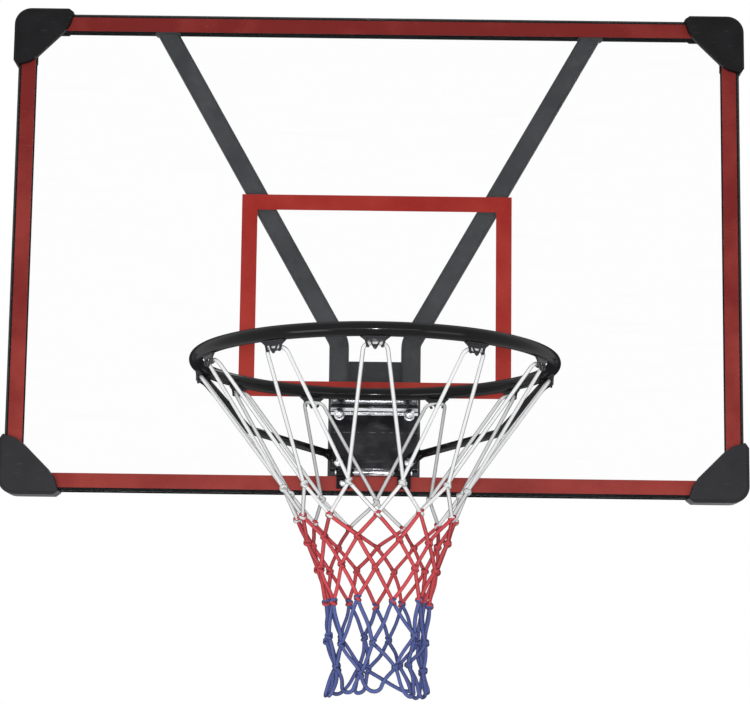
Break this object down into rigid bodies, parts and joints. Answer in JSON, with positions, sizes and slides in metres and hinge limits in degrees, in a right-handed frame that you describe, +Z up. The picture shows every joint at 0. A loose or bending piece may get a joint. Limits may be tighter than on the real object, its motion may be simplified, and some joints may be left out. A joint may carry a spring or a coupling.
{
  "type": "basketball goal",
  "caption": "Wall or pole mounted basketball goal: clear board in a tube frame, sprung ring on a hinged bracket, knotted cord net.",
  "frame": {"origin": "middle of the rear face of the rear plate, on the centre line, level with the ring", "axes": "+X to the right as a player sees it, +Y to the rear towards the pole or wall, +Z up; the board faces -Y"},
  "size_m": [1.134, 0.656, 1.061],
  "materials": {
    "clear_panel": "clear polycarbonate, polished",
    "border_red": "printed line, satin",
    "target_red": "printed line, satin",
    "frame_black": "satin black powder coat",
    "brace_grey": "dark grey powder coat",
    "pad_plastic": "moulded, lightly textured",
    "ring_coat": "gloss black powder coat",
    "zinc": "bright zinc plate",
    "cord_white": "braided polyester cord",
    "cord_red": "braided polyester cord",
    "cord_blue": "braided polyester cord"
  },
  "bodies": {
    "board": {"backboard_panel": "clear_panel", "border_line": "border_red", "target_square": "target_red", "rail_top": "frame_black", "rail_bottom": "frame_black", "rail_left": "frame_black", "rail_right": "frame_black", "brace_left": "brace_grey", "brace_right": "brace_grey", "rear_plate": "brace_grey", "corner_pad_top_left": "pad_plastic", "corner_pad_top_right": "pad_plastic", "corner_pad_bottom_left": "pad_plastic", "corner_pad_bottom_right": "pad_plastic", "base_plate": "ring_coat", "hinge_pin": "zinc", "spring_bolt_left": "zinc", "spring_bolt_right": "zinc", "spring_nut_left": "zinc", "spring_nut_right": "zinc", "spring_left": "zinc", "spring_right": "zinc", "base_bolt_left": "zinc", "base_bolt_right": "zinc", "base_nut_left": "zinc", "base_nut_right": "zinc", "leg_bolt_left": "zinc", "leg_bolt_right": "zinc", "leg_nut_left": "zinc", "leg_nut_right": "zinc"},
    "rim": {"ring": "ring_coat", "bracket": "ring_coat", "strut_left": "ring_coat", "strut_right": "ring_coat", "strut_bolt_left": "zinc", "strut_bolt_right": "zinc", "strut_nut_left": "zinc", "strut_nut_right": "zinc", "spring_washer_left": "zinc", "spring_washer_right": "zinc", "hook_01": "ring_coat", "hook_02": "ring_coat", "hook_03": "ring_coat", "hook_04": "ring_coat", "hook_05": "ring_coat", "hook_06": "ring_coat", "hook_07": "ring_coat", "hook_08": "ring_coat", "hook_09": "ring_coat", "hook_10": "ring_coat", "hook_11": "ring_coat", "net_white": "cord_white", "net_red": "cord_red", "net_blue": "cord_blue"}
  },
  "joints": [
    {"name": "rim_tilt", "type": "hinge", "parent": "board", "child": "rim", "pos_m": [0, -0.0379, -0.097], "axis": [1, 0, 0], "range_deg": [0, 6.5], "stiffness_Nm_per_rad": 220, "springref_deg": -11.46, "deforming": ["spring_left", "spring_right"]}
  ]
}
